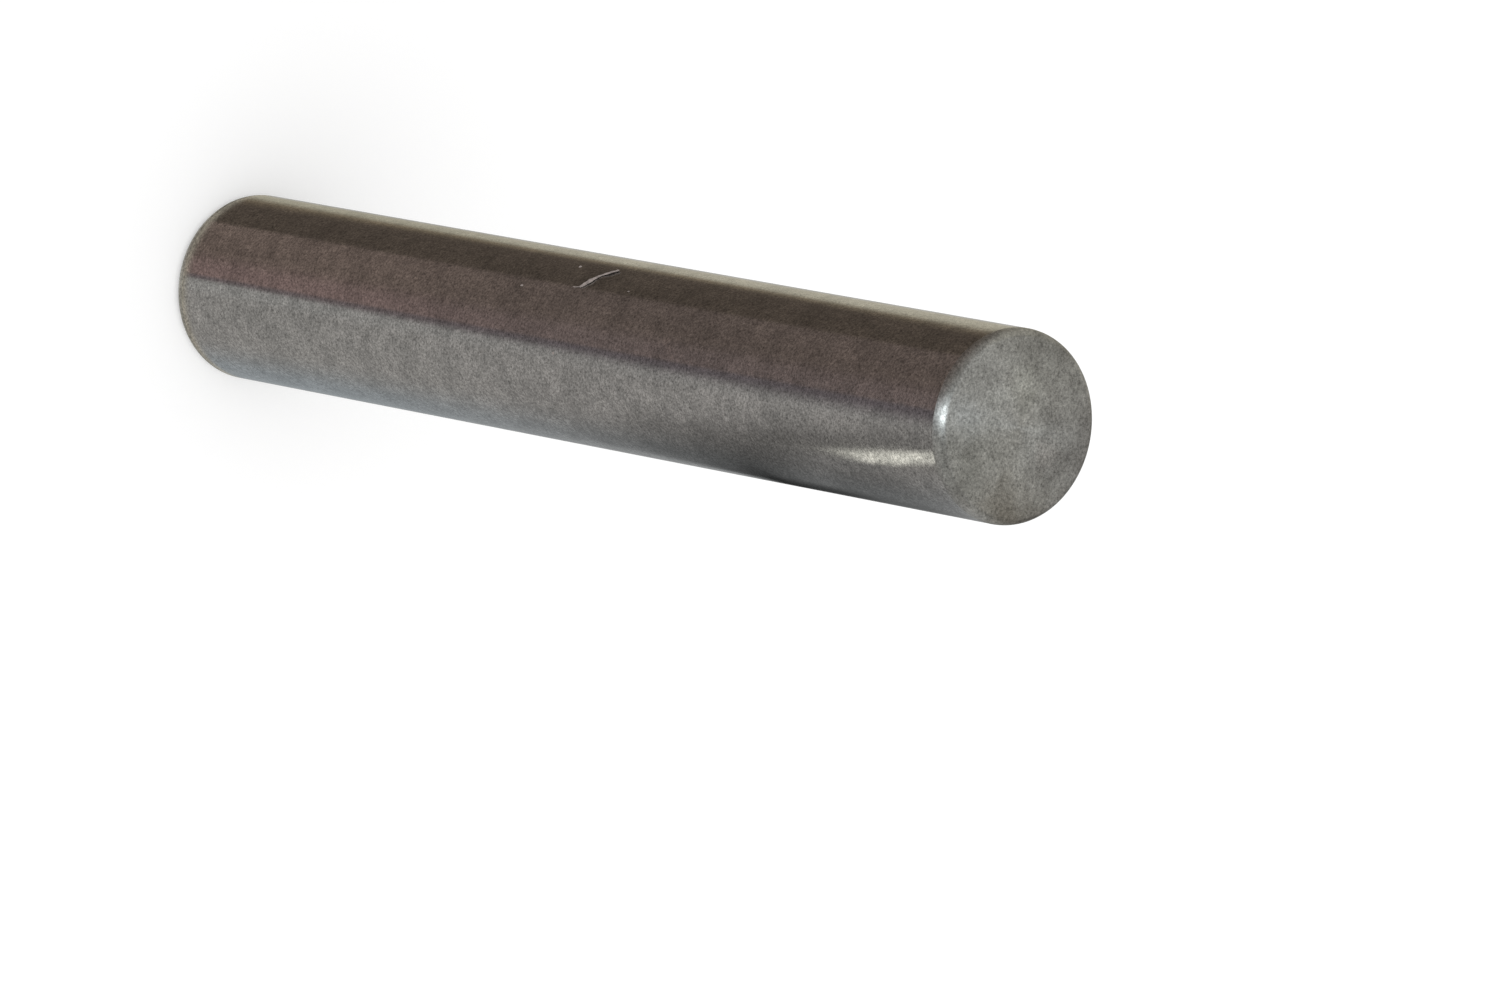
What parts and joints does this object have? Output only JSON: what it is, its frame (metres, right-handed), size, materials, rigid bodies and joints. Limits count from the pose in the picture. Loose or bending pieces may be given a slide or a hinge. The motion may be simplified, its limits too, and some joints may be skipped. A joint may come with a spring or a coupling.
{
  "type": "dowel pin",
  "caption": "Plain round steel dowel pin: a ground parallel shank with flat dull ends and small rounded edges.",
  "frame": {"origin": "centre of the lower end face, which the pin stands on", "axes": "+Z along the pin's axis, from the lower end face to the upper one"},
  "size_m": [0.006, 0.006, 0.04],
  "materials": {
    "steel": "ground round the shank, tumbled dull on the end faces"
  },
  "bodies": {
    "root": {"pin": "steel"}
  },
  "joints": []
}
